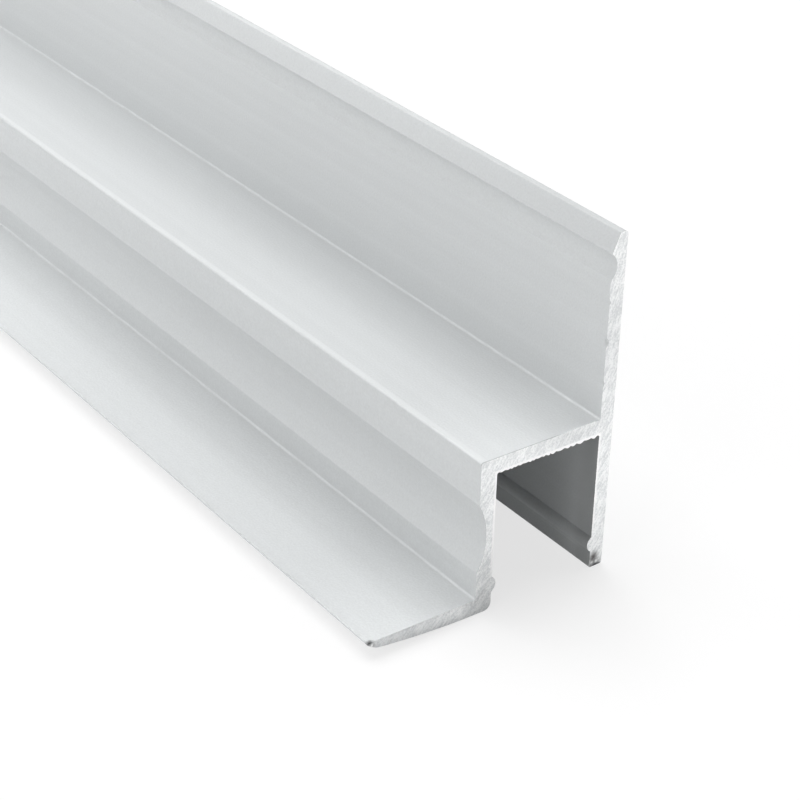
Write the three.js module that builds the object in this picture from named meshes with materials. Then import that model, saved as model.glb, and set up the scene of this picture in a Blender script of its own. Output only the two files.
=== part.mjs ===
// An aluminium edge profile: one extruded bar of constant section, sold by the length.
//
// Millimetres, +Z up. The bar lies along X. The tall back flange is on the +Y side and carries a
// hooked lip with a grip groove. In front of it a downward slot takes a panel between two beads,
// and a tapered foot reaches out to -Y. The bar stands on its heel and on the flange's toe, at Z = 0.
import * as THREE from 'three';

// The bar
const LENGTH = 1000;
const HEIGHT = 30.15;

// Walls
const FLANGE_WALL = 1.3;
const DECK_WALL = 1.35;
const CHEEK_WALL = 1.55;
const FOOT_THICKNESS = 1.4;

// The slot, open downwards, and the beads that grip the panel in its mouth
const SLOT_WIDTH = 10.2;
const SLOT_DEPTH = 12.65;
const BEAD_HEIGHT = 2.3;
const BEAD_WIDTH = 1.4;
const BEAD_PROUD = 0.4;

// The lip of the back flange, which stands a little proud of its face, and the groove under it
const LIP_TIP = 0.72;
const LIP_HEIGHT = 1.65;
const LIP_PROUD = 0.12;
const GROOVE_WIDTH = 2.2;
const GROOVE_DEPTH = 0.5;

// The hollow along the cheek's outer face, above a flat land over the foot
const SCOOP_LAND = 2.5;
const SCOOP_WIDTH = 6.25;
const SCOOP_DEPTH = 0.8;

// The foot, flat on top and curving up from the heel, with a nose that slants to a blunt tip
const FOOT_REACH = 10.3;
const HEEL_LAND = 1.0;
const NOSE_THICKNESS = 0.72;
const NOSE_RUN = 0.95;
const NOSE_BOW = 0.05;
const FOOT_TIP = 0.2;

// Rounded edges
const LIP_OUTER_RADIUS = 0.3;
const LIP_INNER_RADIUS = 0.15;
const DECK_EDGE_RADIUS = 0.2;
const HEEL_RADIUS = 0.65;
const TOE_RADIUS = 0.15;
const NOSE_EDGE_RADIUS = 0.1;
const INSIDE_FILLET = 0.2;

// Facets along each arc of the section
const ARC_SEGMENTS = 16;

const ALUMINIUM = new THREE.MeshStandardMaterial({
  color: 0xcdd1d2,
  roughness: 0.42,
  metalness: 1,
});

// Lines of the section: Y is 0 on the back flange's outer face, Z is 0 on the floor
const FLANGE_FACE = -FLANGE_WALL;
const SLOT_FRONT = FLANGE_FACE - SLOT_WIDTH;
const CHEEK_FACE = SLOT_FRONT - CHEEK_WALL;
const WIDTH = FOOT_REACH - CHEEK_FACE;
const DECK_TOP = SLOT_DEPTH + DECK_WALL;

// A station is a corner of the outline. A radius rounds it. A bow bends the edge that arrives at
// it into an arc: outwards from the metal where it is positive, and into the metal where negative.
function station(y, z, { radius = 0, bow = 0 } = {}) {
  return { point: new THREE.Vector2(y, z), radius, bow };
}

// The bow of an arc that leaves the floor level and climbs by rise over run.
function bowOfLevelStart(run, rise) {
  return (Math.hypot(run, rise) / 2) * Math.tan(Math.atan2(rise, run) / 2);
}

// Up the outer face of the back flange and over its lip, down to the deck.
function backFlange() {
  const lipFoot = HEIGHT - LIP_HEIGHT;
  return [
    station(0, 0, { radius: TOE_RADIUS }),
    station(0, HEIGHT, { radius: LIP_OUTER_RADIUS }),
    station(-LIP_TIP, HEIGHT, { radius: LIP_INNER_RADIUS }),
    station(FLANGE_FACE - LIP_PROUD, lipFoot),
    station(FLANGE_FACE, lipFoot - GROOVE_WIDTH, { bow: -GROOVE_DEPTH }),
    station(FLANGE_FACE, DECK_TOP, { radius: INSIDE_FILLET }),
  ];
}

// Along the deck's front edge and down the cheek, past its scoop, to the foot.
function cheek() {
  const scoopFoot = FOOT_THICKNESS + SCOOP_LAND;
  return [
    station(CHEEK_FACE, DECK_TOP, { radius: DECK_EDGE_RADIUS }),
    station(CHEEK_FACE, scoopFoot + SCOOP_WIDTH),
    station(CHEEK_FACE, scoopFoot, { bow: -SCOOP_DEPTH }),
    station(CHEEK_FACE, FOOT_THICKNESS, { radius: INSIDE_FILLET }),
  ];
}

// Out along the foot's top, down its nose, and back under it to the heel.
function foot() {
  const noseFoot = FOOT_THICKNESS - NOSE_THICKNESS;
  const noseStart = NOSE_RUN - WIDTH;
  const heelStart = SLOT_FRONT - HEEL_LAND;
  return [
    station(-WIDTH, FOOT_THICKNESS, { radius: NOSE_EDGE_RADIUS }),
    station(-WIDTH, FOOT_THICKNESS - FOOT_TIP),
    station(noseStart, noseFoot, { bow: NOSE_BOW }),
    station(heelStart, 0, { bow: bowOfLevelStart(heelStart - noseStart, noseFoot) }),
    station(SLOT_FRONT, 0, { radius: HEEL_RADIUS }),
  ];
}

// Up the slot's front wall, across its ceiling, and down the back wall to the flange's toe.
function slot() {
  const beadFoot = BEAD_HEIGHT - BEAD_WIDTH / 2;
  const beadTop = BEAD_HEIGHT + BEAD_WIDTH / 2;
  return [
    station(SLOT_FRONT, beadFoot),
    station(SLOT_FRONT, beadTop, { bow: BEAD_PROUD }),
    station(SLOT_FRONT, SLOT_DEPTH, { radius: INSIDE_FILLET }),
    station(FLANGE_FACE, SLOT_DEPTH, { radius: INSIDE_FILLET }),
    station(FLANGE_FACE, beadTop),
    station(FLANGE_FACE, beadFoot, { bow: BEAD_PROUD }),
    station(FLANGE_FACE, 0, { radius: TOE_RADIUS }),
  ];
}

// Adds the arc that rounds a corner between the stations before and after it.
function roundCorner(path, before, corner, after) {
  const back = before.point.clone().sub(corner.point).normalize();
  const ahead = after.point.clone().sub(corner.point).normalize();
  const halfAngle = Math.acos(back.dot(ahead)) / 2;
  const tangent = corner.radius / Math.tan(halfAngle);
  const bisector = back.clone().add(ahead).setLength(corner.radius / Math.sin(halfAngle));
  const centre = corner.point.clone().add(bisector);
  const start = back.multiplyScalar(tangent).add(corner.point).sub(centre);
  const end = ahead.multiplyScalar(tangent).add(corner.point).sub(centre);
  const turnsRight = start.cross(end) < 0;
  path.absarc(centre.x, centre.y, corner.radius, start.angle(), end.angle(), turnsRight);
}

// Adds an arc from one station to the next, its middle standing off the chord by the bow.
function bowEdge(path, from, to) {
  const chord = to.point.clone().sub(from.point);
  const depth = Math.abs(to.bow);
  const radius = (chord.lengthSq() / 4 + depth * depth) / (2 * depth);
  const inward = new THREE.Vector2(-chord.y, chord.x).setLength(radius - depth);
  const centre = chord.clone().divideScalar(2).add(from.point);
  centre.addScaledVector(inward, Math.sign(to.bow));
  const start = from.point.clone().sub(centre);
  const end = to.point.clone().sub(centre);
  path.absarc(centre.x, centre.y, radius, start.angle(), end.angle(), to.bow < 0);
}

// Joins the stations, taken anticlockwise round the metal, into one closed outline.
function traceOutline(stations) {
  const path = new THREE.Shape();
  stations.forEach((here, i) => {
    const before = stations.at(i - 1);
    const after = stations[(i + 1) % stations.length];
    if (here.bow !== 0) {
      bowEdge(path, before, here);
    } else if (here.radius > 0) {
      roundCorner(path, before, here, after);
    } else {
      path.lineTo(here.point.x, here.point.y);
    }
  });
  return path;
}

// Extrudes a section drawn across Y and up Z along X.
function extrudeAlongX(section, length) {
  const geometry = new THREE.ExtrudeGeometry(section, {
    depth: length,
    curveSegments: ARC_SEGMENTS,
    bevelEnabled: false,
  });
  const across = new THREE.Vector3(0, 1, 0);
  const up = new THREE.Vector3(0, 0, 1);
  const along = new THREE.Vector3(1, 0, 0);
  return geometry.applyMatrix4(new THREE.Matrix4().makeBasis(across, up, along));
}

function makeEdgeProfile() {
  const section = traceOutline([...backFlange(), ...cheek(), ...foot(), ...slot()]);
  const bar = new THREE.Mesh(extrudeAlongX(section, LENGTH), ALUMINIUM);
  bar.name = 'edge_profile';
  bar.position.set(-LENGTH / 2, WIDTH / 2, 0);
  return bar;
}

const part = new THREE.Group();
part.add(makeEdgeProfile());

export default part;
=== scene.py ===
"""Dresses one aluminium edge profile: a satin anodised bar with plain sawn ends, on a pale floor.

Metres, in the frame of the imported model: X along the bar, Y towards its tall back flange, Z up.
"""

import logging
import math
from dataclasses import dataclass, field
from enum import Enum
from typing import Iterable

import bmesh
import bpy
from mathutils import Matrix, Vector, noise

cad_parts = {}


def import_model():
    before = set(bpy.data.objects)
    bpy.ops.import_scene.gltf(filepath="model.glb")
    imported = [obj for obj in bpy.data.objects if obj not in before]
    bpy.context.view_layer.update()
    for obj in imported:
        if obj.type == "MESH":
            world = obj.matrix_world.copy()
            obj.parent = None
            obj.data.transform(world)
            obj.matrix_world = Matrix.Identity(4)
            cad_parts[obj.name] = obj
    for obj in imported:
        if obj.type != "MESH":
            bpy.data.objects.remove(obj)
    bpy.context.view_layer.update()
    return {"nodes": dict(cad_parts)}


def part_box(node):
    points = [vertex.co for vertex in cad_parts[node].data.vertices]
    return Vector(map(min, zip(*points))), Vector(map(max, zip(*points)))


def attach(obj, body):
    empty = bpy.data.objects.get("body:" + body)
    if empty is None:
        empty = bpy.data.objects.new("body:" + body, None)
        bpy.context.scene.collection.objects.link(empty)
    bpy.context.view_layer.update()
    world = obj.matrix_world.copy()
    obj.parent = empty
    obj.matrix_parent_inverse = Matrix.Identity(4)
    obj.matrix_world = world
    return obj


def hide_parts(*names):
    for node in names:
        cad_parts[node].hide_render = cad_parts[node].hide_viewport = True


LOG = logging.getLogger("edge_profile")

NODE = "edge_profile"
BODY = "root"

MM = 0.001

Colour = tuple[float, float, float, float]
Point = tuple[float, ...]
Names = tuple[str, ...]
Socket = bpy.types.NodeSocket

WHITE: Colour = (1.0, 1.0, 1.0, 1.0)

# Half the bar's length, which is also the X of its near end.
HALF_LENGTH = 500 * MM

# A face looks along an axis when its normal has more than this share of it.
FACING_SHARE = 0.5

# A noise texture's usual value, and the span that nearly all of it is in.
NOISE_MIDDLE = 0.5
NOISE_SPAN = (0.2, 0.8)


class Surface(Enum):
    """The two kinds of surface that the bar shows."""

    SKIN = "satin_anodised_skin"
    CUT = "sawn_aluminium_end"


class Facing(Enum):
    """The ways that a wall of the section faces, as (Y, Z)."""

    FRONT = (-1.0, 0.0)
    UP = (0.0, 1.0)
    DOWN = (0.0, -1.0)


# ---------------------------------------- helpers


def mm(*sizes: float) -> Point:
    """Turns sizes or places from millimetres into metres."""
    return tuple(size * MM for size in sizes)


def at_end(y: float, z: float) -> Point:
    """Gives a place on the near end, from its Y and Z in millimetres."""
    return (HALF_LENGTH, y * MM, z * MM)


def grey(value: float) -> Colour:
    """Gives a neutral grey."""
    return (value, value, value, 1.0)


def ease(value: float) -> float:
    """Turns a ramp from 0 to 1 into one that starts and ends level."""
    t = min(1.0, max(0.0, value))
    return t * t * (3.0 - 2.0 * t)


def deselect_all() -> None:
    """Clears the selection, so that the next operator acts on nothing left over."""
    bpy.ops.object.select_all(action="DESELECT")


def make_active(obj: bpy.types.Object) -> None:
    """Selects one object alone and makes it active.

    Args:
        obj: the object that the next operator acts on.
    """
    deselect_all()
    obj.select_set(True)
    bpy.context.view_layer.objects.active = obj


def select_only(
    mesh: bmesh.types.BMesh, parts: Iterable[bmesh.types.BMEdge | bmesh.types.BMFace]
) -> None:
    """Selects exactly these edges or faces of a mesh in edit mode.

    Args:
        mesh: the edit mesh.
        parts: the edges or faces to select.
    """
    bpy.ops.mesh.select_all(action="DESELECT")
    for part in parts:
        part.select_set(True)
    mesh.select_flush_mode()


# ---------------------------------------- the sawn ends


@dataclass(frozen=True)
class Lobes:
    """How the lobes of ragged metal along an edge differ from an even row.

    Attributes:
        sway: how far a lobe strays along the edge, in lobes.
        sway_pace: how fast that changes from lobe to lobe.
        middle: the usual share of the full height that a lobe has.
        spread: how much the share varies.
        spread_pace: how fast that changes from lobe to lobe.
        seed_step: parts the noise of the share from that of the sway.
    """

    sway: float = 0.5
    sway_pace: float = 0.6
    middle: float = 0.75
    spread: float = 0.6
    spread_pace: float = 0.7
    seed_step: float = 5.3

    def share(self, beat: float, seed: float) -> float:
        """Gives the share of the full height: round lobes with sharp notches between.

        Args:
            beat: the place along the edge, in lobes.
            seed: picks the noise.

        Returns:
            The share, 0 in a notch.
        """
        swing = beat + self.sway * noise.noise(Vector((self.sway_pace * beat, seed, 0.0)))
        spot = Vector((self.spread_pace * beat, seed + self.seed_step, 0.0))
        return abs(math.sin(math.pi * swing)) * (self.middle + self.spread * noise.noise(spot))


@dataclass(frozen=True)
class Burr:
    """A stretch of ragged metal that the saw leaves along one wall of a cut end.

    Attributes:
        facing: the way that the wall faces.
        low: lowest Y and Z of the stretch.
        high: highest Y and Z of the stretch.
        height: how far the metal stands out from the wall, at most; below 0 it is torn away.
        wave: length of one lobe along the edge, or 0 for a plain swell.
        fade: length over which the burr dies out at both ends of the stretch.
        lobes: how the lobes vary.
    """

    facing: Facing
    low: Point
    high: Point
    height: float
    wave: float = 0.0
    fade: float = 0.3 * MM
    lobes: Lobes = Lobes()

    def reach(self, place: Vector, normal: Vector, seed: float) -> float:
        """Gives the burr's height at a place on the rim of an end.

        Args:
            place: the place.
            normal: the way that the wall faces there.
            seed: picks the noise.

        Returns:
            The height in metres, 0 outside the stretch.
        """
        if normal.yz.dot(self.facing.value) < FACING_SHARE:
            return 0.0
        above = (place.y - self.low[0], place.z - self.low[1])
        below = (self.high[0] - place.y, self.high[1] - place.z)
        if min(*above, *below) < 0.0:
            return 0.0
        axis = 1 if self.facing is Facing.FRONT else 0
        envelope = ease(min(above[axis], below[axis]) / self.fade)
        share = self.lobes.share(place[axis + 1] / self.wave, seed) if self.wave else 1.0
        return self.height * envelope * share


@dataclass(frozen=True)
class Chip:
    """A corner of a cut end that the saw has dragged back.

    Attributes:
        axis: the coordinate that the chip deepens along, 1 for Y or 2 for Z.
        start: where it starts.
        stop: where it is deepest.
        depth: how deep it is there.
        reach_y: lowest and highest Y of the chip.
        middle: the usual share of that depth.
        ripple: how much the share varies.
        ripple_size: size of one ripple along Y and Z.
    """

    axis: int
    start: float
    stop: float
    depth: float
    reach_y: Point
    middle: float = 0.75
    ripple: float = 0.5
    ripple_size: Point = mm(0.5, 0.3)

    def sink(self, place: Vector, seed: float) -> float:
        """Gives how far a place on the end's face is dragged back.

        Args:
            place: the place.
            seed: picks the noise.

        Returns:
            The depth in metres, 0 outside the chip.
        """
        if not self.reach_y[0] <= place.y <= self.reach_y[1]:
            return 0.0
        share = ease((place[self.axis] - self.start) / (self.stop - self.start))
        spot = Vector((place.y / self.ripple_size[0], place.z / self.ripple_size[1], seed))
        return self.depth * share * (self.middle + self.ripple * noise.noise(spot))


RAGGED_RIM = (
    Burr(Facing.DOWN, mm(5.0, 12.4), mm(10.2, 12.8), 0.19 * MM, 0.68 * MM),
    Burr(Facing.DOWN, mm(0.2, 12.4), mm(5.2, 12.8), 0.12 * MM, 0.45 * MM),
    Burr(Facing.FRONT, mm(10.2, 3.2), mm(10.6, 12.3), 0.03 * MM, 0.33 * MM),
    Burr(Facing.FRONT, mm(10.2, 14.3), mm(11.2, 26.2), 0.04 * MM, 0.55 * MM),
    Burr(Facing.UP, mm(6.4, 13.9), mm(10.3, 14.1), 0.12 * MM, 0.23 * MM, 0.7 * MM),
    Burr(Facing.UP, mm(-11.4, 1.3), mm(-1.6, 1.5), 0.02 * MM, fade=0.5 * MM),
)

NEAR_NICKS = (
    Burr(Facing.FRONT, mm(10.2, 24.5), mm(10.6, 26.25), 0.06 * MM),
    Burr(Facing.FRONT, mm(10.2, 24.15), mm(10.6, 24.55), -0.17 * MM, fade=0.2 * MM),
    Burr(Facing.FRONT, mm(10.2, 20.45), mm(10.6, 21.35), -0.22 * MM),
    Burr(Facing.FRONT, mm(10.2, 17.0), mm(10.6, 17.5), -0.13 * MM, fade=0.2 * MM),
)

NEAR_CHIPS = (
    Chip(2, 1.0 * MM, 0.2 * MM, 0.05 * MM, mm(9.8, 11.7)),
    Chip(1, -11.15 * MM, -11.6 * MM, 0.06 * MM, mm(-11.7, -11.1)),
)


@dataclass(frozen=True)
class SawnEnd:
    """One sawn end, with its burrs, nicks and chips.

    Attributes:
        seed: picks the noise, so that the two ends differ.
        burrs: the ragged stretches of its rim.
        chips: the corners that are dragged back.
        cuts_z: heights at which the end's face is split, to let the toe's chip round off.
        cuts_y: places across the foot at which it is split, for the chip in its nose.
    """

    seed: float
    burrs: tuple[Burr, ...] = RAGGED_RIM
    chips: tuple[Chip, ...] = ()
    cuts_z: Point = mm(1.3, 1.0, 0.7, 0.45, 0.25)
    cuts_y: Point = mm(-11.15, -11.3, -11.45)

    def reach(self, place: Vector, normal: Vector) -> float:
        """Gives the height of all the burrs together at a place on the rim."""
        return sum(burr.reach(place, normal, self.seed) for burr in self.burrs)

    def sink(self, place: Vector) -> float:
        """Gives the depth of the deepest chip at a place on the end's face."""
        return max((chip.sink(place, self.seed) for chip in self.chips), default=0.0)


# ---------------------------------------- the bar


@dataclass
class ProfileBar:
    """The extruded bar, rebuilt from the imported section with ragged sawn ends.

    Attributes:
        source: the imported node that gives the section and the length.
        flat_step: longest edge left on the flats of the outline.
        end_rings: distances from each end at which the skin has a ring of vertices.
        merge_gap: vertices nearer than this are one.
        key_digits: decimals of a metre to which a vertex is known again.
        smooth_angle: edges that turn by less than this are shaded smooth.
        cut_share: faces that point further along X than this share belong to a cut.
        near_end: the end towards +X, nicked and chipped.
        far_end: the end towards -X, only ragged.
        bar: the finished mesh object.
        low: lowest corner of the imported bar.
        high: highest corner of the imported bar.
    """

    source: bpy.types.Object
    flat_step: float = 0.07 * MM
    end_rings: Point = mm(0.22, 0.6, 2, 8, 30, 120)
    merge_gap: float = 0.001 * MM
    key_digits: int = 7
    smooth_angle: float = math.radians(28)
    cut_share: float = 0.8
    near_end: SawnEnd = SawnEnd(3.7, RAGGED_RIM + NEAR_NICKS, NEAR_CHIPS)
    far_end: SawnEnd = SawnEnd(11.2)
    bar: bpy.types.Object = field(init=False)
    low: Vector = field(init=False)
    high: Vector = field(init=False)

    def build(self) -> bpy.types.Object:
        """Models the bar.

        Returns:
            The finished mesh object, at the origin.
        """
        self.low, self.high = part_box(self.source.name)
        self.bar = self._copy_of_source()
        make_active(self.bar)
        bpy.ops.mesh.customdata_custom_splitnormals_clear()
        bpy.ops.object.mode_set(mode="EDIT")
        bpy.ops.mesh.select_mode(type="EDGE")
        self._keep_end_outline()
        self._split_flats()
        self._sweep()
        self._close_ends()
        bpy.ops.object.mode_set(mode="OBJECT")
        self._ruffle_ends()
        self._assign_surfaces()
        bpy.ops.object.shade_smooth_by_angle(angle=self.smooth_angle)
        return self.bar

    def _copy_of_source(self) -> bpy.types.Object:
        """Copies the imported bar.

        Returns:
            A new object with a mesh of its own and no material.
        """
        bar = bpy.data.objects.new("profile_bar", self.source.data.copy())
        bar.data.materials.clear()
        bpy.context.scene.collection.objects.link(bar)
        return bar

    def _edit_mesh(self) -> bmesh.types.BMesh:
        """Gives the bar's mesh as it stands in edit mode."""
        return bmesh.from_edit_mesh(self.bar.data)

    def _keep_end_outline(self) -> None:
        """Keeps only the outline of the far end: one closed loop of edges."""
        bpy.ops.mesh.select_all(action="SELECT")
        bpy.ops.mesh.remove_doubles(threshold=self.merge_gap)
        mesh = self._edit_mesh()
        select_only(mesh, [e for e in mesh.edges if self._is_far_rim(e)])
        bpy.ops.mesh.select_all(action="INVERT")
        bpy.ops.mesh.delete(type="EDGE")

    def _is_far_rim(self, edge: bmesh.types.BMEdge) -> bool:
        """Tells whether an edge is on the rim of the far end.

        Args:
            edge: the edge.

        Returns:
            Whether it parts the end's face from a wall.
        """
        if not self._at(self.low.x, edge.verts):
            return False
        facing = sorted(abs(f.normal.x) for f in edge.link_faces)
        return facing[0] < FACING_SHARE < facing[-1]

    def _split_flats(self) -> None:
        """Splits the long straight edges of the outline into short ones."""
        groups: dict[int, list[int]] = {}
        for edge in self._edit_mesh().edges:
            cuts = math.ceil(edge.calc_length() / self.flat_step) - 1
            if cuts > 1:
                groups.setdefault(cuts, []).append(edge.index)
        ends = {cuts: self._end_points(indices) for cuts, indices in groups.items()}
        for cuts, pairs in ends.items():
            mesh = self._edit_mesh()
            select_only(mesh, [e for e in mesh.edges if self._key(e) in pairs])
            bpy.ops.mesh.subdivide(number_cuts=cuts)

    def _end_points(self, indices: Iterable[int]) -> set[tuple[Point, ...]]:
        """Names edges by where they start and end, which a split elsewhere leaves alone.

        Args:
            indices: the edges.

        Returns:
            Their keys.
        """
        edges = self._edit_mesh().edges
        edges.ensure_lookup_table()
        return {self._key(edges[i]) for i in indices}

    def _key(self, edge: bmesh.types.BMEdge) -> tuple[Point, ...]:
        """Gives an edge's two ends, rounded, in a fixed order."""
        return tuple(sorted(tuple(round(c, self.key_digits) for c in v.co) for v in edge.verts))

    def _stations(self) -> list[float]:
        """Lists where along X the skin has a ring of vertices.

        Returns:
            The places, from the far end on, without the first one.
        """
        far = [self.low.x + d for d in self.end_rings]
        near = [self.high.x - d for d in reversed(self.end_rings)]
        return [*far, *near, self.high.x]

    def _sweep(self) -> None:
        """Extrudes the outline along X, one ring at a time."""
        bpy.ops.mesh.select_all(action="SELECT")
        here = self.low.x
        for station in self._stations():
            move = {"value": (station - here, 0.0, 0.0)}
            bpy.ops.mesh.extrude_region_move(TRANSFORM_OT_translate=move)
            here = station

    def _close_ends(self) -> None:
        """Caps both ends, splits the caps where chips need it, and turns all faces outwards."""
        for end in (self.low.x, self.high.x):
            mesh = self._edit_mesh()
            select_only(mesh, [e for e in mesh.edges if self._at(end, e.verts)])
            bpy.ops.mesh.edge_face_add()
        for z in self.near_end.cuts_z:
            self._split_caps((0.0, 0.0, z), (0.0, 0.0, 1.0))
        for y in self.near_end.cuts_y:
            self._split_caps((0.0, y, 0.0), (0.0, 1.0, 0.0))
        bpy.ops.mesh.select_all(action="SELECT")
        bpy.ops.mesh.normals_make_consistent(inside=False)

    def _split_caps(self, place: Point, normal: Point) -> None:
        """Splits the faces of both caps along a plane.

        Args:
            place: a point on the plane.
            normal: the plane's normal.
        """
        mesh = self._edit_mesh()
        ends = (self.low.x, self.high.x)
        caps = [f for f in mesh.faces if any(self._at(end, f.verts) for end in ends)]
        select_only(mesh, caps)
        bpy.ops.mesh.bisect(plane_co=place, plane_no=normal, threshold=self.merge_gap)

    def _at(self, end: float, vertices: Iterable[bmesh.types.BMVert]) -> bool:
        """Tells whether all these vertices lie on the plane of an end."""
        return all(abs(v.co.x - end) < self.merge_gap for v in vertices)

    def _ruffle_ends(self) -> None:
        """Raises the burrs round both ends and drags their chips back."""
        mesh = bmesh.new()
        mesh.from_mesh(self.bar.data)
        for end, finish in ((self.high.x, self.near_end), (self.low.x, self.far_end)):
            inward = math.copysign(1.0, -end)
            rim = [vertex for vertex in mesh.verts if self._at(end, [vertex])]
            moves = [self._ruffle(vertex, finish, inward) for vertex in rim]
            for vertex, move in zip(rim, moves):
                vertex.co += move
        mesh.to_mesh(self.bar.data)
        mesh.free()

    def _ruffle(self, vertex: bmesh.types.BMVert, finish: SawnEnd, inward: float) -> Vector:
        """Gives the move of one vertex of an end.

        Args:
            vertex: the vertex.
            finish: the end's burrs and chips.
            inward: the sign of X that leads into the metal.

        Returns:
            The move.
        """
        normal = self._wall_normal(vertex)
        move = normal * finish.reach(vertex.co, normal)
        move.x += inward * finish.sink(vertex.co)
        return move

    @staticmethod
    def _wall_normal(vertex: bmesh.types.BMVert) -> Vector:
        """Finds the way that the walls face at a vertex of an end.

        Args:
            vertex: the vertex.

        Returns:
            The outward direction, or 0 where no wall meets the vertex.
        """
        total = Vector((0.0, 0.0, 0.0))
        for face in vertex.link_faces:
            if abs(face.normal.x) < FACING_SHARE:
                total += face.normal
        return total.normalized()

    def _assign_surfaces(self) -> None:
        """Gives the skin and the two sawn ends their own material slots."""
        self.bar.data.materials.append(bpy.data.materials[Surface.SKIN.value])
        self.bar.data.materials.append(bpy.data.materials[Surface.CUT.value])
        for face in self.bar.data.polygons:
            face.material_index = int(abs(face.normal.x) > self.cut_share)


# ---------------------------------------- shader helpers


@dataclass(frozen=True)
class Step:
    """A smooth step from one number to another.

    Attributes:
        start: the value at which it starts.
        full: the value at which it is full, above or below the start.
        share: what it gives when full.
        rest: what it gives up to the start.
    """

    start: float
    full: float
    share: float = 1.0
    rest: float = 0.0

    @classmethod
    def from_end(cls, start: float, full: float, share: float = 1.0) -> "Step":
        """Makes a step over X, with its places given by how far they are from an end."""
        return cls(HALF_LENGTH - start, HALF_LENGTH - full, share)


class NodeGraph:
    """A short way to place and join shader nodes in one tree."""

    def __init__(self, tree: bpy.types.NodeTree) -> None:
        """Starts on a tree, with no nodes in it."""
        self.tree = tree
        tree.nodes.clear()

    def add(self, kind: str, **settings: object) -> bpy.types.Node:
        """Adds a node.

        Args:
            kind: the node's type name, such as "ShaderNodeBump".
            settings: properties to set on it.

        Returns:
            The new node.
        """
        node = self.tree.nodes.new(kind)
        for name, value in settings.items():
            setattr(node, name, value)
        return node

    def join(self, source: Socket, target: Socket) -> None:
        """Links an output to an input."""
        self.tree.links.new(source, target)

    def feed(self, socket: Socket, value: Socket | float | Point) -> None:
        """Links an output to an input, or sets the input to a plain value.

        Args:
            socket: the input.
            value: the output, or the plain value.
        """
        if isinstance(value, Socket):
            self.join(value, socket)
        else:
            socket.default_value = value

    def math(self, operation: str, *values: Socket | float) -> Socket:
        """Adds a Math node.

        Args:
            operation: such as "MULTIPLY".
            values: an output to link, or a plain number, for each input.

        Returns:
            The result.
        """
        node = self.add("ShaderNodeMath", operation=operation)
        for socket, value in zip(node.inputs, values):
            self.feed(socket, value)
        return node.outputs["Value"]

    def both(self, a: Socket, b: Socket) -> Socket:
        """Gives the product of two masks or values."""
        return self.math("MULTIPLY", a, b)

    def gap(self, value: Socket, goal: float) -> Socket:
        """Gives how far a value is from a goal."""
        return self.math("ABSOLUTE", self.math("SUBTRACT", value, goal))

    def weigh(self, *parts: tuple[Socket, float]) -> Socket:
        """Adds up values by their weights.

        Args:
            parts: the values, each with its weight.

        Returns:
            The sum.
        """
        (first, weight), *others = parts
        total = self.math("MULTIPLY", first, weight)
        for value, weight in others:
            total = self.math("MULTIPLY_ADD", value, weight, total)
        return total

    def ramp(self, value: Socket, step: Step) -> Socket:
        """Maps a value over a smooth step.

        Args:
            value: what is mapped.
            step: the step.

        Returns:
            The result.
        """
        node = self.add("ShaderNodeMapRange", interpolation_type="SMOOTHSTEP")
        self.join(value, node.inputs["Value"])
        node.inputs["From Min"].default_value = step.start
        node.inputs["From Max"].default_value = step.full
        node.inputs["To Min"].default_value = step.rest
        node.inputs["To Max"].default_value = step.share
        return node.outputs["Result"]

    def mix(self, factor: Socket, under: Socket | Colour, over: Socket | Colour) -> Socket:
        """Mixes two colours.

        Args:
            factor: the share of the second colour.
            under: the first colour.
            over: the second colour.

        Returns:
            The mixed colour.
        """
        node = self.add("ShaderNodeMix", data_type="RGBA")
        for name, value in (("Factor", factor), ("A", under), ("B", over)):
            self.feed(node.inputs[name], value)
        return node.outputs["Result"]


class Effect(NodeGraph):
    """A node group with named inputs and outputs, shared by the finishes."""

    def __init__(
        self, name: str, numbers: dict[str, float], vectors: Names, outputs: Names
    ) -> None:
        """Makes the group and its sockets.

        Args:
            name: the group's name.
            numbers: its number inputs and their defaults.
            vectors: its vector inputs.
            outputs: its number outputs.
        """
        super().__init__(bpy.data.node_groups.new(name, "ShaderNodeTree"))
        sockets = self.tree.interface
        for label in vectors:
            sockets.new_socket(name=label, in_out="INPUT", socket_type="NodeSocketVector")
        for label, value in numbers.items():
            socket = sockets.new_socket(name=label, in_out="INPUT", socket_type="NodeSocketFloat")
            socket.default_value = value
        for label in outputs:
            sockets.new_socket(name=label, in_out="OUTPUT", socket_type="NodeSocketFloat")
        self.inputs = self.add("NodeGroupInput").outputs
        self.outputs = self.add("NodeGroupOutput").inputs

    def vector_math(self, operation: str, a: Socket, b: Socket | Point) -> Socket:
        """Adds a Vector Math node.

        Args:
            operation: such as "SUBTRACT".
            a: the first vector.
            b: the second vector.

        Returns:
            The resulting vector.
        """
        node = self.add("ShaderNodeVectorMath", operation=operation)
        self.feed(node.inputs[0], a)
        self.feed(node.inputs[1], b)
        return node.outputs["Vector"]

    def noise(self, vector: Socket, scale: Socket | float, detail: float) -> Socket:
        """Adds a noise texture.

        Args:
            vector: the place.
            scale: how many grains there are to a metre.
            detail: how many finer layers of noise are added.

        Returns:
            The noise, about 0.5.
        """
        node = self.add("ShaderNodeTexNoise", noise_dimensions="3D")
        self.join(vector, node.inputs["Vector"])
        self.feed(node.inputs["Scale"], scale)
        node.inputs["Detail"].default_value = detail
        return node.outputs["Fac"]


def make_grain() -> bpy.types.NodeTree:
    """Builds the fine metal grain and the broad clouds that both finishes share.

    Returns:
        The node group.
    """
    scales = {"Fine Scale": 5500.0, "Broad Scale": 60.0}
    group = Effect("metal_grain", scales, ("Vector",), ("Grain", "Cloud"))
    for scale, result in (("Fine Scale", "Grain"), ("Broad Scale", "Cloud")):
        speckle = group.noise(group.inputs["Vector"], group.inputs[scale], detail=2.0)
        group.join(speckle, group.outputs[result])
    return group.tree


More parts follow.
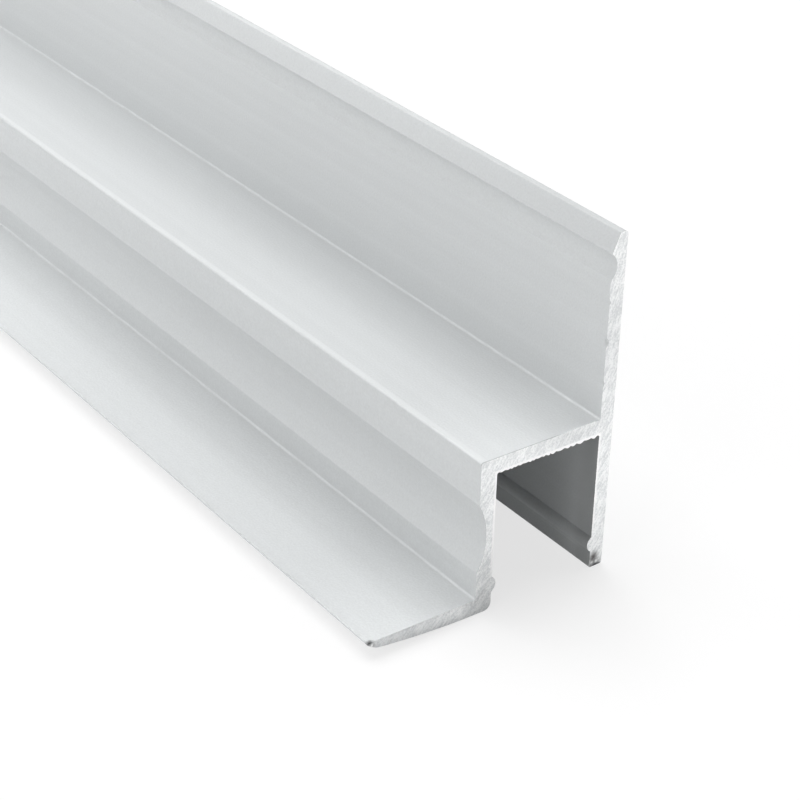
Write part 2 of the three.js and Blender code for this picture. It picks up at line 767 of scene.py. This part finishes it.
def make_die_lines() -> bpy.types.NodeTree:
    """Builds the faint lines that the die leaves along the bar.

    Returns:
        The node group.
    """
    group = Effect("die_lines", {"Scale": 1200.0}, ("Vector",), ("Lines",))
    drawn_out = (0.004, 1.0, 1.0)
    stretched = group.vector_math("MULTIPLY", group.inputs["Vector"], drawn_out)
    lines = group.noise(stretched, group.inputs["Scale"], detail=3.0)
    group.join(lines, group.outputs["Lines"])
    return group.tree


def make_saw_marks() -> bpy.types.NodeTree:
    """Builds the arcs that a small saw blade leaves on a cut end.

    Returns:
        The node group.
    """
    scales = {"Pitch Scale": 6000.0, "Arc Scale": 30.0}
    group = Effect("saw_marks", scales, ("Vector", "Centre"), ("Marks", "Radius"))
    away = group.vector_math("SUBTRACT", group.inputs["Vector"], group.inputs["Centre"])
    axes = group.add("ShaderNodeSeparateXYZ")
    group.join(away, axes.inputs["Vector"])
    y, z = axes.outputs["Y"], axes.outputs["Z"]
    radius = group.math("SQRT", group.math("ADD", group.both(y, y), group.both(z, z)))
    angle = group.math("ARCTAN2", z, y)
    polar = group.add("ShaderNodeCombineXYZ")
    group.join(group.both(radius, group.inputs["Pitch Scale"]), polar.inputs["X"])
    group.join(group.both(angle, group.inputs["Arc Scale"]), polar.inputs["Y"])
    group.join(axes.outputs["X"], polar.inputs["Z"])
    marks = group.noise(polar.outputs["Vector"], scale=1.0, detail=3.0)
    group.join(marks, group.outputs["Marks"])
    group.join(radius, group.outputs["Radius"])
    return group.tree


def make_smudge() -> bpy.types.NodeTree:
    """Builds a soft patch with a broken edge, for dull patches, dark spots, painted shade and
    painted glints.

    Returns:
        The node group.
    """
    numbers = {"Break": 0.8, "Break Scale": 3500.0}
    group = Effect("corner_smudge", numbers, ("Vector", "Centre", "Size"), ("Mask",))
    away = group.vector_math("SUBTRACT", group.inputs["Vector"], group.inputs["Centre"])
    scaled = group.vector_math("DIVIDE", away, group.inputs["Size"])
    length = group.add("ShaderNodeVectorMath", operation="LENGTH")
    group.join(scaled, length.inputs[0])
    speckle = group.noise(group.inputs["Vector"], group.inputs["Break Scale"], detail=1.0)
    centred = group.math("SUBTRACT", speckle, NOISE_MIDDLE)
    jitter = group.both(centred, group.inputs["Break"])
    spread = group.math("ADD", length.outputs["Value"], jitter)
    group.join(group.ramp(spread, Step(1.0, 0.0)), group.outputs["Mask"])
    return group.tree


@dataclass(frozen=True)
class Effects:
    """The node groups that the finishes place in their materials.

    Attributes:
        grain: the fine grain and the clouds.
        die_lines: the lines along the bar.
        saw_marks: the arcs on a cut.
        smudge: the soft patch.
    """

    grain: bpy.types.NodeTree
    die_lines: bpy.types.NodeTree
    saw_marks: bpy.types.NodeTree
    smudge: bpy.types.NodeTree

    @classmethod
    def build(cls) -> "Effects":
        """Makes each group once."""
        return cls(make_grain(), make_die_lines(), make_saw_marks(), make_smudge())


class FinishGraph(NodeGraph):
    """The nodes of one metal finish, from Object coordinates to the material's output."""

    def __init__(self, surface: Surface, metallic: float) -> None:
        """Makes the material with its shader and output.

        Args:
            surface: the surface that it is for, which names it.
            metallic: how much of it mirrors as metal.
        """
        self.material = bpy.data.materials.new(surface.value)
        self.material.use_nodes = True
        super().__init__(self.material.node_tree)
        output = self.add("ShaderNodeOutputMaterial")
        self.shader = self.add("ShaderNodeBsdfPrincipled")
        self.shader.inputs["Metallic"].default_value = metallic
        self.place = self.add("ShaderNodeTexCoord").outputs["Object"]
        self.join(self.shader.outputs["BSDF"], output.inputs["Surface"])

    def effect(self, tree: bpy.types.NodeTree, **values: float | Point) -> bpy.types.NodeOutputs:
        """Places a shared effect.

        Args:
            tree: the node group.
            values: its inputs by name, with _ for each space.

        Returns:
            The group's outputs.
        """
        node = self.add("ShaderNodeGroup", node_tree=tree)
        self.join(self.place, node.inputs["Vector"])
        for name, value in values.items():
            node.inputs[name.replace("_", " ")].default_value = value
        return node.outputs

    def axes(self) -> bpy.types.NodeOutputs:
        """Adds the Object coordinates one by one.

        Returns:
            The outputs X, Y and Z.
        """
        node = self.add("ShaderNodeSeparateXYZ")
        self.join(self.place, node.inputs["Vector"])
        return node.outputs

    def roughen(self, grain: Socket, middle: float, spread: float) -> None:
        """Feeds the shader's roughness, which the grain spreads to both sides of a middle one."""
        step = Step(*NOISE_SPAN, share=middle + spread, rest=middle - spread)
        self.join(self.ramp(grain, step), self.shader.inputs["Roughness"])

    def bump(self, height: Socket, distance: float) -> None:
        """Feeds a height to the shader's normal.

        Args:
            height: the height, from 0 to 1.
            distance: what a height of 1 stands for.
        """
        node = self.add("ShaderNodeBump")
        node.inputs["Distance"].default_value = distance
        self.join(height, node.inputs["Height"])
        self.join(node.outputs["Normal"], self.shader.inputs["Normal"])


# ---------------------------------------- finishes


@dataclass(frozen=True)
class Patch:
    """A soft place on a cut end.

    Attributes:
        centre: its middle.
        size: its half lengths along X, Y and Z.
        broken: how ragged its edge is.
    """

    centre: Point
    size: Point
    broken: float

    def mask(self, graph: FinishGraph, effects: Effects) -> Socket:
        """Gives the patch's mask, 1 in its middle."""
        values = {"Centre": self.centre, "Size": self.size, "Break": self.broken}
        return graph.effect(effects.smudge, **values)["Mask"]


@dataclass(frozen=True)
class Smudge(Patch):
    """A patch of another colour.

    Attributes:
        colour: its colour.
    """

    colour: Colour

    def lay(self, graph: FinishGraph, effects: Effects, under: Socket) -> Socket:
        """Lays the smudge over a colour and gives the colour that results."""
        return graph.mix(self.mask(graph, effects), under, self.colour)


FLANGE_PATCH = Patch(at_end(11.0, 20.0), mm(2.0, 4.0, 11.0), 0.1)
DECK_PATCH = Patch(at_end(7.3, 13.3), mm(2.0, 4.2, 3.0), 0.1)
HEEL_PATCH = Patch(at_end(-0.8, 1.8), mm(2.0, 1.4, 1.8), 0.3)

NOSE_SMUDGE = Smudge(at_end(-11.5, 1.38), mm(0.5, 0.52, 0.44), 0.5, grey(0.05))

# At the nose: a dark speck, and a painted glint beside it.
NOSE_SPECK_AND_GLINT = (
    Smudge(at_end(-11.13, 1.02), mm(0.5, 0.26, 0.26), 1.4, grey(0.4)),
    Smudge(at_end(-11.3, 1.12), mm(0.5, 0.17, 0.28), 0.3, WHITE),
)

# At the toe, the dark patches low down and along the bottom edge are painted shade, the one above
# them darkens the toe, and the white ones are painted glints.
TOE_SHADE_AND_GLINTS = (
    Smudge(at_end(10.95, 0.35), mm(1.0, 1.0, 0.55), 0.8, grey(0.4)),
    Smudge(at_end(10.76, 0.92), mm(1.0, 0.66, 0.85), 0.3, (0.14, 0.13, 0.13, 1.0)),
    Smudge(at_end(11.0, 0.04), mm(1.0, 1.1, 0.28), 0.5, (0.14, 0.14, 0.15, 1.0)),
    Smudge(at_end(10.65, 0.42), mm(1.0, 0.26, 0.22), 0.8, WHITE),
    Smudge(at_end(11.1, 0.4), mm(1.0, 0.24, 0.24), 0.5, WHITE),
)


@dataclass(frozen=True)
class SatinSkin:
    """The pale satin anodised skin, with painted light and shade along the bar and beside the
    cuts.

    Attributes:
        dark: colour of the darkest grains.
        light: colour of the lightest grains.
        rim_shade: colour of the painted shade, a dark hairline on the deck along the cuts.
        edge_highlight: colour of the painted highlight, a bright line behind the deck's front
            edge.
        slot_shade: colour of the painted shade on the slot's walls beside the cuts.
        metallic: how much of it mirrors as metal.
        roughness: middle roughness.
        rough_spread: how far the roughness goes to either side.
        grain_tone: weight of the grain in the tone.
        cloud_tone: weight of the broad clouds in the tone.
        line_tone: weight of the die lines in the tone.
        line_relief: height of the die lines against that of the grain.
        relief: height of the grain.
        foot_top: height of the foot's upper face.
        deck_top: height of the deck's upper face.
        at_deck: distance from the deck's upper face over which its masks fade in.
        at_tops: distance from the upper faces of deck and foot over which theirs fade in.
        at_lip: height over which the lip begins.
        pale: distance from the end over which the skin gets paler, a painted light that grows
            along the bar.
        even: Y over which the deck keeps its tone instead.
        lip_shade: distance from the end over which the lip gets darker, a painted shade.
        tops_light: distance from the end over which deck and foot get paler, a painted light.
        highlight_line: Y of the painted highlight behind the deck's front edge.
        highlight_spread: distance from that line over which the painted highlight fades in.
        hairline: distance from the end over which the painted shade line fades in.
        hairline_stretch: Y over which it fades in, in front of the deck's burr.
        slot_shade_fade: distance from the end over which the slot gets its painted shade.
        shade_front: lowest Y of the painted shade.
        shade_back: highest Y of the painted shade.
        shade_top: highest Z of the painted shade.
        shade_blur: how softly the painted shade ends there.
        smudge: the dark spot on the foot's nose.
    """

    dark: Colour = (0.525, 0.536, 0.541, 1.0)
    light: Colour = (0.732, 0.747, 0.751, 1.0)
    rim_shade: Colour = (0.46, 0.47, 0.47, 1.0)
    edge_highlight: Colour = (0.8, 0.81, 0.812, 1.0)
    slot_shade: Colour = (0.45, 0.46, 0.463, 1.0)
    metallic: float = 0.8
    roughness: float = 0.8
    rough_spread: float = 0.05
    grain_tone: float = 0.75
    cloud_tone: float = 0.05
    line_tone: float = 0.2
    line_relief: float = 0.3
    relief: float = 0.02 * MM
    foot_top: float = 1.4 * MM
    deck_top: float = 14.0 * MM
    at_deck: Step = Step(0.3 * MM, 0.1 * MM)
    at_tops: Step = Step(0.15 * MM, 0.05 * MM)
    at_lip: Step = Step(28.4 * MM, 28.6 * MM)
    pale: Step = Step.from_end(25 * MM, 90 * MM, share=0.16)
    even: Step = Step(9 * MM, 4 * MM)
    lip_shade: Step = Step.from_end(35 * MM, 0.0, share=-0.2)
    tops_light: Step = Step.from_end(12 * MM, 0.0, share=0.25)
    highlight_line: float = -1.0 * MM
    highlight_spread: Step = Step(0.36 * MM, 0.1 * MM, share=0.33)
    hairline: Step = Step.from_end(0.11 * MM, 0.05 * MM)
    hairline_stretch: Step = Step(6.6 * MM, 5.8 * MM)
    slot_shade_fade: Step = Step.from_end(2.6 * MM, 0.2 * MM)
    shade_front: float = 0.05 * MM
    shade_back: float = 10.55 * MM
    shade_top: float = 12.85 * MM
    shade_blur: float = 0.05 * MM
    smudge: Smudge = NOSE_SMUDGE

    def build(self, effects: Effects) -> None:
        """Makes the material.

        Args:
            effects: the shared node groups.
        """
        graph = FinishGraph(Surface.SKIN, self.metallic)
        metal = graph.effect(effects.grain)
        grain, cloud = metal["Grain"], metal["Cloud"]
        lines = graph.effect(effects.die_lines)["Lines"]
        mottle = graph.weigh(
            (cloud, self.cloud_tone), (grain, self.grain_tone), (lines, self.line_tone)
        )
        # The skin's tone carries painted light and shade on top of its mottle.
        tone = graph.math("ADD", mottle, self._painted_light_and_shade(graph))
        colour = graph.mix(tone, self.dark, self.light)
        # A painted highlight: a bright line behind the deck's front edge.
        colour = graph.mix(self._edge_highlight_mask(graph), colour, self.edge_highlight)
        # Painted shade on the slot's walls beside the cuts.
        colour = graph.mix(self._slot_shade_mask(graph), colour, self.slot_shade)
        # A painted shade line along the cuts on the deck.
        colour = graph.mix(self._hairline_mask(graph), colour, self.rim_shade)
        colour = self.smudge.lay(graph, effects, colour)
        graph.join(colour, graph.shader.inputs["Base Color"])
        graph.roughen(grain, self.roughness, self.rough_spread)
        graph.bump(graph.math("MULTIPLY_ADD", lines, self.line_relief, grain), self.relief)

    def _painted_light_and_shade(self, graph: FinishGraph) -> Socket:
        """Paints light and shade into the skin's tone: paler along the bar, darker on the lip and
        paler on deck and foot beside the cuts.

        Args:
            graph: the material's nodes.

        Returns:
            What is added to the skin's tone: above 0 where light is painted, below 0 where shade
            is painted.
        """
        axes = graph.axes()
        from_middle = graph.math("ABSOLUTE", axes["X"])
        off_deck = graph.gap(axes["Z"], self.deck_top)
        off_foot = graph.gap(axes["Z"], self.foot_top)
        off_tops = graph.math("MINIMUM", off_deck, off_foot)
        even = graph.both(graph.ramp(off_deck, self.at_deck), graph.ramp(axes["Y"], self.even))
        elsewhere = graph.math("SUBTRACT", 1.0, even)
        pale = graph.both(graph.ramp(from_middle, self.pale), elsewhere)
        lip = graph.both(graph.ramp(axes["Z"], self.at_lip), graph.ramp(from_middle, self.lip_shade))
        tops = graph.both(graph.ramp(off_tops, self.at_tops), graph.ramp(from_middle, self.tops_light))
        return graph.math("ADD", graph.math("ADD", pale, lip), tops)

    def _edge_highlight_mask(self, graph: FinishGraph) -> Socket:
        """Masks the painted highlight, a bright line behind the deck's front edge.

        Args:
            graph: the material's nodes.

        Returns:
            The mask.
        """
        axes = graph.axes()
        across = graph.math("SUBTRACT", axes["Y"], self.highlight_line)
        down = graph.math("SUBTRACT", axes["Z"], self.deck_top)
        square = graph.math("MULTIPLY_ADD", across, across, graph.both(down, down))
        return graph.ramp(graph.math("SQRT", square), self.highlight_spread)

    def _slot_shade_mask(self, graph: FinishGraph) -> Socket:
        """Masks the slot's walls beside both cuts, which are darkened there with painted shade.

        Args:
            graph: the material's nodes.

        Returns:
            The mask.
        """
        axes = graph.axes()
        mask = graph.ramp(graph.math("ABSOLUTE", axes["X"]), self.slot_shade_fade)
        blur = self.shade_blur
        for axis, edge, outward in (
            ("Y", self.shade_front, -blur),
            ("Y", self.shade_back, blur),
            ("Z", self.shade_top, blur),
        ):
            within = Step(edge + outward, edge - outward)
            mask = graph.both(mask, graph.ramp(axes[axis], within))
        return mask

    def _hairline_mask(self, graph: FinishGraph) -> Socket:
        """Masks a painted shade hairline along both cuts, on top of the deck in front of its burr.

        Args:
            graph: the material's nodes.

        Returns:
            The mask, 1 where the painted shade line is darkest.
        """
        axes = graph.axes()
        beside_cut = graph.ramp(graph.math("ABSOLUTE", axes["X"]), self.hairline)
        on_deck = graph.ramp(graph.gap(axes["Z"], self.deck_top), self.at_deck)
        stretch = graph.ramp(axes["Y"], self.hairline_stretch)
        return graph.both(beside_cut, graph.both(on_deck, stretch))


@dataclass(frozen=True)
class SawnCut:
    """Bare aluminium as the saw leaves it, duller out along the foot, with painted shade at heel
    and toe, painted glints at toe and nose, and a dark spot at the nose.

    Attributes:
        dark: colour at the bottom of the saw marks.
        light: colour of the clean metal.
        dull_and_shade_dark: the dark colour where the saw has dragged and where shade is painted.
        dull_and_shade_light: the light colour where the saw has dragged and where shade is
            painted.
        rim_highlight: colour of the painted highlight on the rim round the slot.
        metallic: how much of it mirrors as metal.
        roughness: middle roughness.
        rough_spread: how far the roughness goes to either side.
        fine_scale: grains to a metre.
        broad_scale: clouds to a metre.
        arc_scale: how many marks there are along an arc of 1 radian.
        grain_tone: weight of the grain in the tone.
        cloud_tone: weight of the clouds in the tone.
        mark_tone: weight of the saw marks in the tone.
        tone: the tones over which dark turns to light.
        mark_relief: height of the saw marks against that of the grain.
        relief: height of the grain.
        blade_centre: where the blade's axis stood.
        streak_radius: distance from that axis to the deep mark in the heel.
        streak: distance from the deep mark over which it fades in.
        foot: Y over which the foot dulls, to its nose.
        at_foot: Y over which the foot starts.
        at_cheek: Y over which the cheek starts.
        heel: height over which the cheek darkens down to its heel, a painted shade near the floor.
        foot_shade_line_height: height of the thin painted shade line under the foot's upper edge.
        foot_rim_shade: distance from that line over which the painted shade fades in.
        slot_middle: Y of the slot's middle.
        slot_half: half the slot's width.
        slot_top: height of the slot's ceiling.
        slot_rim: distance from the slot over which its painted highlight fades in.
        above_beads: height over which the burnished rim starts.
        dull_patches: places on the clean metal, each with how dull it is.
        spots_shade_and_glints: painted shade and painted glints at the toe, and a dark speck, a
            painted glint and the dark spot at the nose.
    """

    dark: Colour = (0.72, 0.738, 0.746, 1.0)
    light: Colour = (0.985, 0.995, 0.995, 1.0)
    dull_and_shade_dark: Colour = (0.53, 0.543, 0.553, 1.0)
    dull_and_shade_light: Colour = (0.71, 0.72, 0.725, 1.0)
    rim_highlight: Colour = WHITE
    metallic: float = 1.0
    roughness: float = 0.42
    rough_spread: float = 0.08
    fine_scale: float = 6000.0
    broad_scale: float = 700.0
    arc_scale: float = 90.0
    grain_tone: float = 0.38
    cloud_tone: float = 0.22
    mark_tone: float = 0.4
    tone: Step = Step(0.385, 0.615)
    mark_relief: float = 1.5
    relief: float = 0.012 * MM
    blade_centre: Point = mm(0.0, -48.1, 43.9)
    streak_radius: float = 63.34 * MM
    streak: Step = Step(0.14 * MM, 0.05 * MM, share=0.65)
    foot: Step = Step(-1.6 * MM, -11.0 * MM)
    at_foot: Step = Step(-1.6 * MM, -3.2 * MM)
    at_cheek: Step = Step(4.0 * MM, 1.0 * MM)
    heel: Step = Step(2.4 * MM, -0.6 * MM, share=0.5)
    foot_shade_line_height: float = 1.31 * MM
    foot_rim_shade: Step = Step(0.1 * MM, 0.03 * MM, share=0.3)
    slot_middle: float = 5.275 * MM
    slot_half: float = 5.1 * MM
    slot_top: float = 12.65 * MM
    slot_rim: Step = Step(0.24 * MM, 0.08 * MM)
    above_beads: Step = Step(2.6 * MM, 4.6 * MM)
    dull_patches: tuple[tuple[Patch, float], ...] = ((FLANGE_PATCH, 0.42), (DECK_PATCH, 0.45))
    spots_shade_and_glints: tuple[Smudge, ...] = (*TOE_SHADE_AND_GLINTS, *NOSE_SPECK_AND_GLINT, NOSE_SMUDGE)

    def build(self, effects: Effects) -> None:
        """Makes the material.

        Args:
            effects: the shared node groups.
        """
        graph = FinishGraph(Surface.CUT, self.metallic)
        scales = {"Fine_Scale": self.fine_scale, "Broad_Scale": self.broad_scale}
        metal = graph.effect(effects.grain, **scales)
        grain, cloud = metal["Grain"], metal["Cloud"]
        blade = {"Centre": self.blade_centre, "Arc_Scale": self.arc_scale}
        saw = graph.effect(effects.saw_marks, **blade)
        mottle = graph.weigh(
            (grain, self.grain_tone), (cloud, self.cloud_tone), (saw["Marks"], self.mark_tone)
        )
        streaks = graph.ramp(mottle, self.tone)
        clean = graph.mix(streaks, self.dark, self.light)
        # The dull colours serve both dragged metal and painted shade.
        dull = graph.mix(streaks, self.dull_and_shade_dark, self.dull_and_shade_light)
        colour = graph.mix(self._dull_and_shade_mask(graph, effects, saw["Radius"]), clean, dull)
        # A painted highlight on the rim round the slot.
        colour = graph.mix(self._slot_highlight_mask(graph), colour, self.rim_highlight)
        # Lays painted shade and painted glints at the toe and nose, and the nose's dark spots.
        for smudge in self.spots_shade_and_glints:
            colour = smudge.lay(graph, effects, colour)
        graph.join(colour, graph.shader.inputs["Base Color"])
        graph.roughen(grain, self.roughness, self.rough_spread)
        height = graph.math("MULTIPLY_ADD", saw["Marks"], self.mark_relief, grain)
        graph.bump(height, self.relief)

    def _dull_and_shade_mask(self, graph: FinishGraph, effects: Effects, radius: Socket) -> Socket:
        """Masks dull metal and painted shade: the foot, more and more towards its nose, the heel's
        painted shade, a painted shade line under the foot's upper edge, the deep saw mark and the
        dull patches.

        Args:
            graph: the material's nodes.
            effects: the shared node groups.
            radius: the distance from the blade's axis.

        Returns:
            The mask, 1 at the nose.
        """
        axes = graph.axes()
        on_foot = graph.ramp(axes["Y"], self.at_foot)
        off_foot = graph.math("SUBTRACT", 1.0, on_foot)
        on_cheek = graph.ramp(axes["Y"], self.at_cheek)
        # Painted shade: the cheek darkens down to its heel, near the floor.
        heel = graph.both(graph.ramp(axes["Z"], self.heel), on_cheek)
        # Painted shade: a thin dark line under the foot's upper edge.
        rim = graph.ramp(graph.gap(axes["Z"], self.foot_shade_line_height), self.foot_rim_shade)
        streak = graph.ramp(graph.gap(radius, self.streak_radius), self.streak)
        mask = graph.ramp(axes["Y"], self.foot)
        for part, within in (
            (heel, off_foot),
            (rim, on_foot),
            (streak, HEEL_PATCH.mask(graph, effects)),
        ):
            mask = graph.math("MULTIPLY_ADD", part, within, mask)
        for patch, share in self.dull_patches:
            mask = graph.math("MULTIPLY_ADD", patch.mask(graph, effects), share, mask)
        return mask

    def _slot_highlight_mask(self, graph: FinishGraph) -> Socket:
        """Masks the painted highlight on the narrow rim round the slot, above the beads.

        Args:
            graph: the material's nodes.

        Returns:
            The mask, 1 on the rim and over the slot.
        """
        axes = graph.axes()
        beside = graph.math("SUBTRACT", graph.gap(axes["Y"], self.slot_middle), self.slot_half)
        above = graph.math("SUBTRACT", axes["Z"], self.slot_top)
        off_slot = graph.math("MAXIMUM", beside, above)
        return graph.both(
            graph.ramp(off_slot, self.slot_rim), graph.ramp(axes["Z"], self.above_beads)
        )


# ---------------------------------------- studio


@dataclass(frozen=True)
class ProductCamera:
    """The camera, close to the near end and looking back along the bar.

    Attributes:
        place: where it stands.
        azimuth: degrees from +Y towards -X.
        elevation: degrees it looks down.
        roll: degrees it leans.
        lens: focal length in millimetres.
        film: side of its square picture in millimetres.
        nearest: nearest distance that it shows.
        farthest: farthest distance that it shows.
    """

    place: Point = (0.60980, -0.090365, 0.101032)
    azimuth: float = 53.54
    elevation: float = 30.04
    roll: float = 1.50
    lens: float = 98.6
    film: float = 36.0
    nearest: float = 0.005
    farthest: float = 50.0

    def build(self) -> None:
        """Adds the camera and makes it the scene's."""
        bpy.ops.object.camera_add(location=self.place)
        camera = bpy.context.object
        turn = Matrix.Rotation(math.radians(self.azimuth), 4, "Z")
        tilt = Matrix.Rotation(math.radians(90.0 - self.elevation), 4, "X")
        lean = Matrix.Rotation(math.radians(self.roll), 4, "Z")
        camera.matrix_world = Matrix.Translation(self.place) @ turn @ tilt @ lean
        camera.data.lens = self.lens
        camera.data.sensor_width = self.film
        camera.data.clip_start = self.nearest
        camera.data.clip_end = self.farthest
        bpy.context.scene.camera = camera


@dataclass(frozen=True)
class Softbox:
    """A large square lamp, aimed at the near half of the bar.

    Attributes:
        name: the lamp's name.
        place: where it hangs.
        power: its power in watts.
        size: length of its side.
        aim: the point that it faces.
    """

    name: str
    place: Point
    power: float
    size: float = 1.6
    aim: Point = (0.4, 0.0, 0.0)

    def build(self) -> None:
        """Adds the lamp."""
        bpy.ops.object.light_add(type="AREA", location=self.place)
        lamp = bpy.context.object
        lamp.name = self.name
        lamp.data.shape = "SQUARE"
        lamp.data.size = self.size
        lamp.data.energy = self.power
        lamp.visible_camera = False
        beam = Vector(self.aim) - Vector(self.place)
        lamp.rotation_euler = beam.to_track_quat("-Z", "Y").to_euler()


@dataclass(frozen=True)
class Studio:
    """The pale floor, the low glow of the backdrop and the softboxes.

    Attributes:
        floor_size: side of the floor.
        floor_gap: how far the floor lies under the bar.
        floor_colour: colour of the floor.
        paper_white: share of pure white in the floor as the camera sees it.
        paper_gleam: share of pure white in the floor as the metal mirrors it.
        horizon: strength of the sky at the horizon.
        fall_off: how fast the sky darkens upwards.
        softboxes: the lamps.
    """

    floor_size: float = 40.0
    floor_gap: float = 0.02 * MM
    floor_colour: Colour = grey(0.85)
    paper_white: float = 0.72
    paper_gleam: float = 0.18
    horizon: float = 1.4
    fall_off: float = 4.0
    softboxes: tuple[Softbox, ...] = (
        Softbox("front_softbox", (0.5, -1.6, 1.0), 12.4),
        Softbox("low_softbox", (0.5, -1.75, 0.3), 5.8, size=0.5),
        Softbox("rear_softbox", (0.3, 1.3, 1.5), 16.2),
        Softbox("top_softbox", (-0.45, 0.0, 1.65), 36.5),
    )

    def build(self) -> None:
        """Sets up the floor, the sky and the lamps."""
        bpy.context.scene.view_settings.view_transform = "Standard"
        self._lay_floor()
        self._fill_sky()
        for softbox in self.softboxes:
            softbox.build()

    def _lay_floor(self) -> None:
        """Lays the floor just under the bar."""
        deselect_all()
        below = (0.0, 0.0, -self.floor_gap)
        bpy.ops.mesh.primitive_plane_add(size=self.floor_size, location=below)
        floor = bpy.context.object
        floor.name = "studio_floor"
        bpy.ops.object.transform_apply(location=True, rotation=False, scale=False)
        floor.data.materials.append(self._make_paper())

    def _make_paper(self) -> bpy.types.Material:
        """Makes the floor's white paper, which keeps a softened shadow.

        Returns:
            The material.
        """
        material = bpy.data.materials.new("floor_paper")
        material.use_nodes = True
        graph = NodeGraph(material.node_tree)
        output = graph.add("ShaderNodeOutputMaterial")
        paper = graph.add("ShaderNodeBsdfDiffuse")
        paper.inputs["Color"].default_value = self.floor_colour
        white = graph.add("ShaderNodeEmission")
        blend = graph.add("ShaderNodeMixShader")
        rays = graph.add("ShaderNodeLightPath").outputs
        mirrored = graph.math("ADD", rays["Is Glossy Ray"], rays["Is Transmission Ray"])
        gleam = graph.math("MULTIPLY", mirrored, self.paper_gleam)
        share = graph.math("MULTIPLY_ADD", rays["Is Camera Ray"], self.paper_white, gleam)
        graph.join(share, blend.inputs["Fac"])
        graph.join(paper.outputs["BSDF"], blend.inputs[1])
        graph.join(white.outputs["Emission"], blend.inputs[2])
        graph.join(blend.outputs["Shader"], output.inputs["Surface"])
        return material

    def _fill_sky(self) -> None:
        """Lights the backdrop: white at the horizon and dark overhead."""
        world = bpy.data.worlds.new("studio_backdrop")
        bpy.context.scene.world = world
        world.use_nodes = True
        graph = NodeGraph(world.node_tree)
        output = graph.add("ShaderNodeOutputWorld")
        background = graph.add("ShaderNodeBackground")
        background.inputs["Color"].default_value = WHITE
        axes = graph.add("ShaderNodeSeparateXYZ")
        graph.join(graph.add("ShaderNodeTexCoord").outputs["Generated"], axes.inputs["Vector"])
        drop = graph.math("SUBTRACT", 1.0, graph.math("MAXIMUM", axes.outputs["Z"], 0.0))
        fading = graph.math("POWER", drop, self.fall_off)
        glow = graph.math("MULTIPLY", fading, self.horizon)
        graph.join(glow, background.inputs["Strength"])
        graph.join(background.outputs["Background"], output.inputs["Surface"])


# ---------------------------------------- scene


def main() -> None:
    """Builds the studio, the finishes and the bar."""
    logging.basicConfig(level=logging.INFO, format="%(name)s: %(message)s")
    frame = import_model()
    deselect_all()
    ProductCamera().build()
    Studio().build()
    effects = Effects.build()
    SatinSkin().build(effects)
    SawnCut().build(effects)
    bar = ProfileBar(frame["nodes"][NODE]).build()
    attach(bar, BODY)
    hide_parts(NODE)
    LOG.info("%s: %d faces", bar.name, len(bar.data.polygons))


if __name__ == "__main__":
    main()
